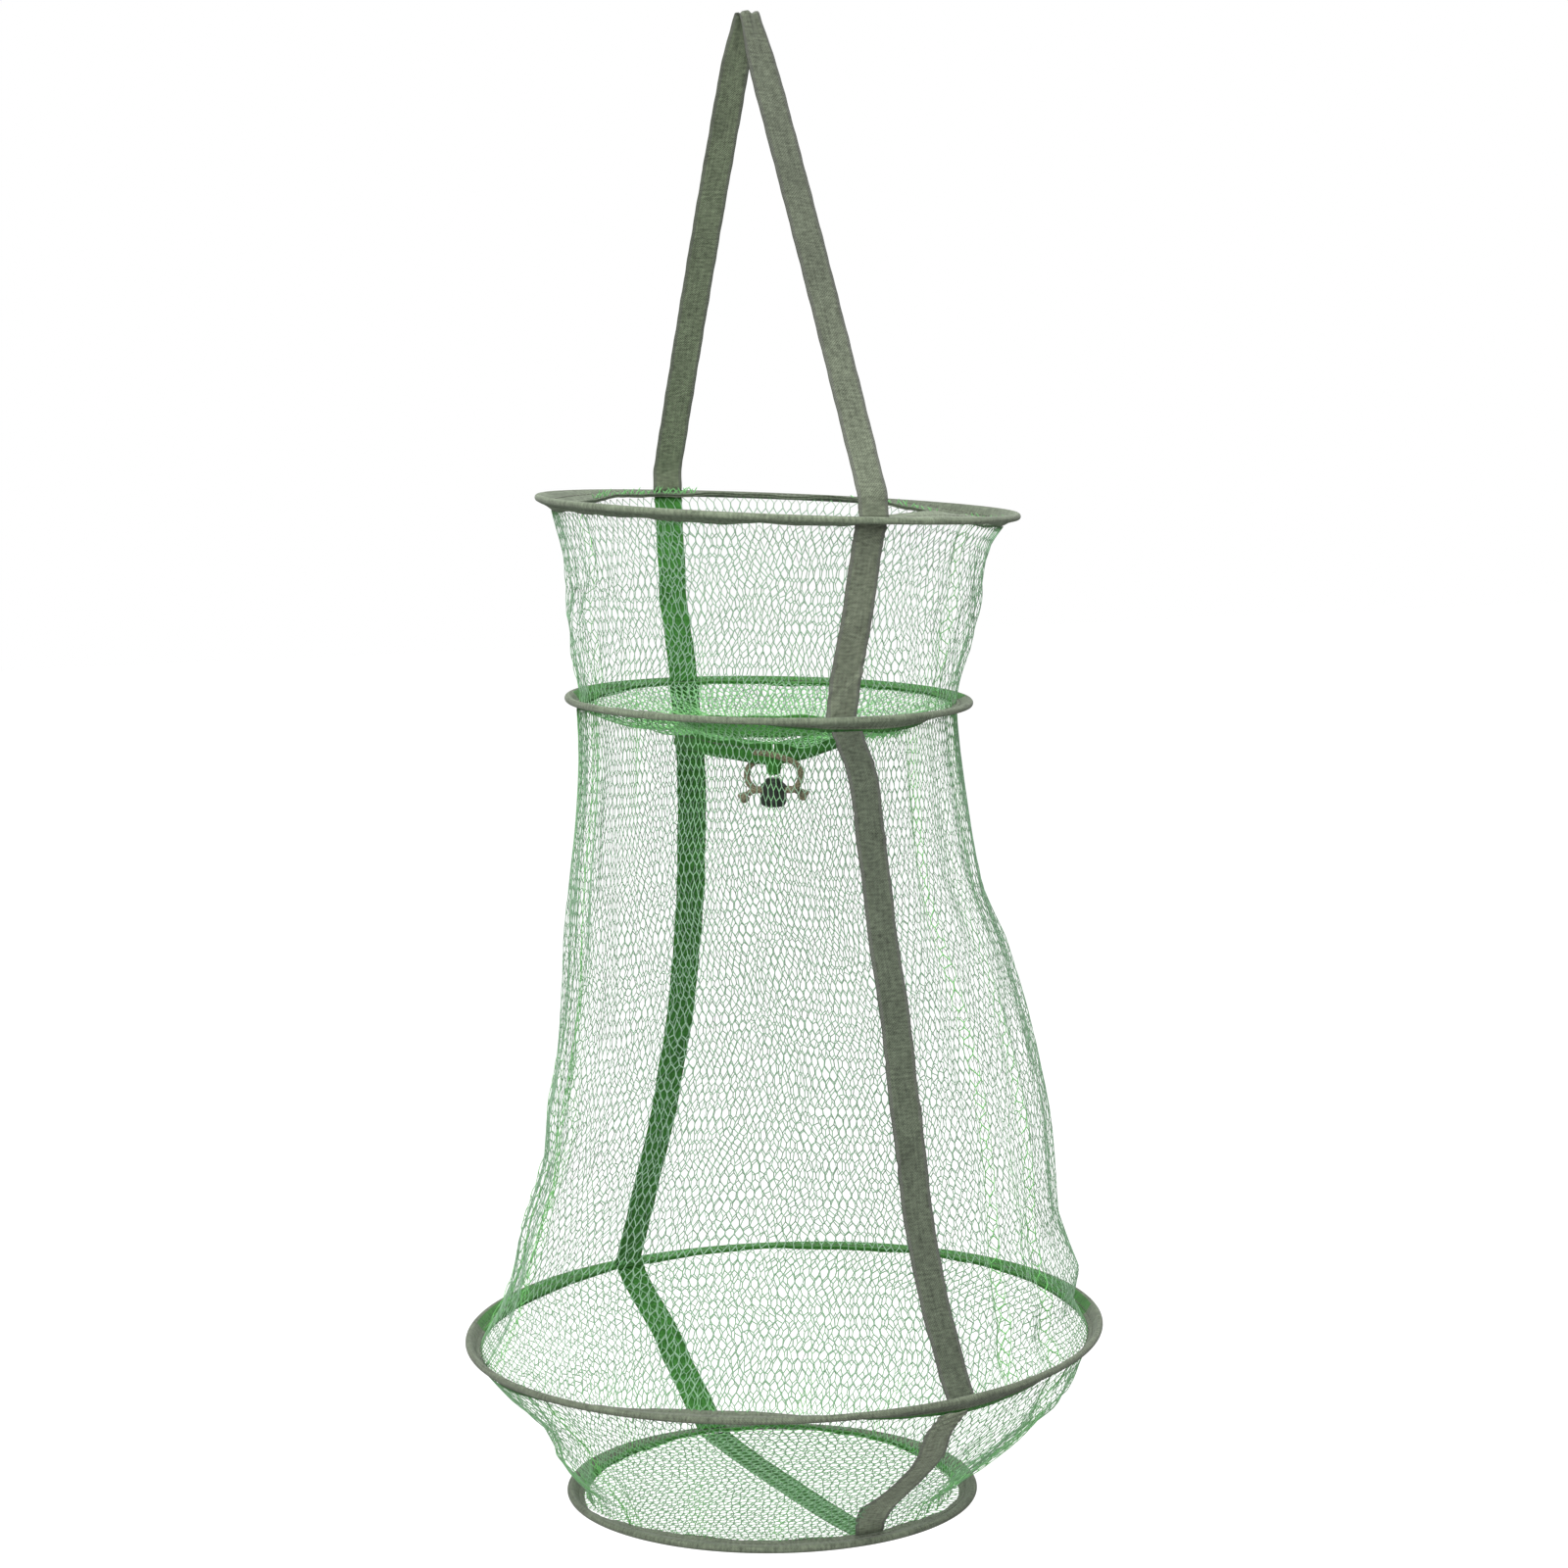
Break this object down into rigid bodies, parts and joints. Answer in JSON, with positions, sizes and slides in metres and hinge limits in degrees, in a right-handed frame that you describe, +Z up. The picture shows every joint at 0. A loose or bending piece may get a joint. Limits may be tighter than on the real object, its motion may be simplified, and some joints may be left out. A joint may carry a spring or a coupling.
{
  "type": "mesh fish bag",
  "caption": "Collapsible hanging fish bag: netting over wire hoops bound in olive cloth tape, with a drawstring throat, a cord lock and a tape carrying handle.",
  "frame": {"origin": "inside of the handle's flat top, where the bag hangs from a finger or a hook", "axes": "+Z up along the hanging bag, +X towards the front strap, +Y to the front strap's left seen from outside"},
  "size_m": [0.3314, 0.3314, 0.76],
  "materials": {
    "olive_tape": "matt woven cotton tape",
    "green_net": "soft knotless polyester netting",
    "spring_steel": "drawn wire",
    "khaki_cord": "braided cord",
    "black_plastic": "satin moulded plastic"
  },
  "bodies": {
    "handle": {"handle_strap": "olive_tape"},
    "mouth_ring": {"mouth_wire": "spring_steel", "mouth_binding": "olive_tape", "upper_net": "green_net", "front_strap_upper": "olive_tape", "back_strap_upper": "olive_tape"},
    "throat_ring": {"throat_wire": "spring_steel", "throat_binding": "olive_tape", "throat_net": "green_net", "throat_collar": "olive_tape", "drawstring": "khaki_cord", "drawstring_tail_right": "khaki_cord", "drawstring_tail_left": "khaki_cord", "drawstring_knot_right": "khaki_cord", "drawstring_knot_left": "khaki_cord", "main_net": "green_net", "front_strap_main": "olive_tape", "back_strap_main": "olive_tape"},
    "belly_ring": {"belly_wire": "spring_steel", "belly_binding": "olive_tape", "lower_net": "green_net", "front_strap_lower": "olive_tape", "back_strap_lower": "olive_tape"},
    "bottom_ring": {"bottom_wire": "spring_steel", "bottom_binding": "olive_tape", "bottom_net": "green_net", "bottom_strap": "olive_tape"},
    "cord_lock": {"cord_lock_body": "black_plastic", "cord_lock_spring": "spring_steel"},
    "cord_lock_button": {"cord_lock_button": "black_plastic"}
  },
  "joints": [
    {"name": "handle_swing", "type": "hinge", "parent": "handle", "child": "mouth_ring", "pos_m": [0.00026, 0.00969, -0.23361], "axis": [0.9994, 0.0349, 0], "range_deg": [-80, 80]},
    {"name": "throat_ring_lift", "type": "slide", "parent": "mouth_ring", "child": "throat_ring", "axis": [0, 0, 1], "range_m": [0, 0.084], "deforming": ["upper_net", "front_strap_upper", "back_strap_upper"]},
    {"name": "belly_ring_lift", "type": "slide", "parent": "throat_ring", "child": "belly_ring", "axis": [0, 0, 1], "range_m": [0, 0.283], "deforming": ["main_net", "front_strap_main", "back_strap_main"]},
    {"name": "bottom_ring_lift", "type": "slide", "parent": "belly_ring", "child": "bottom_ring", "axis": [0, 0, 1], "range_m": [0, 0.072], "deforming": ["lower_net", "front_strap_lower", "back_strap_lower"]},
    {"name": "cord_lock_slide", "type": "slide", "parent": "throat_ring", "child": "cord_lock", "axis": [0.3746, 0.9272, 0], "range_m": [-0.002, 0.002]},
    {"name": "cord_lock_press", "type": "slide", "parent": "cord_lock", "child": "cord_lock_button", "axis": [0, 0, -1], "range_m": [0, 0.0012], "stiffness_N_per_m": 600, "springref_m": -0.0015, "deforming": ["cord_lock_spring"]}
  ]
}
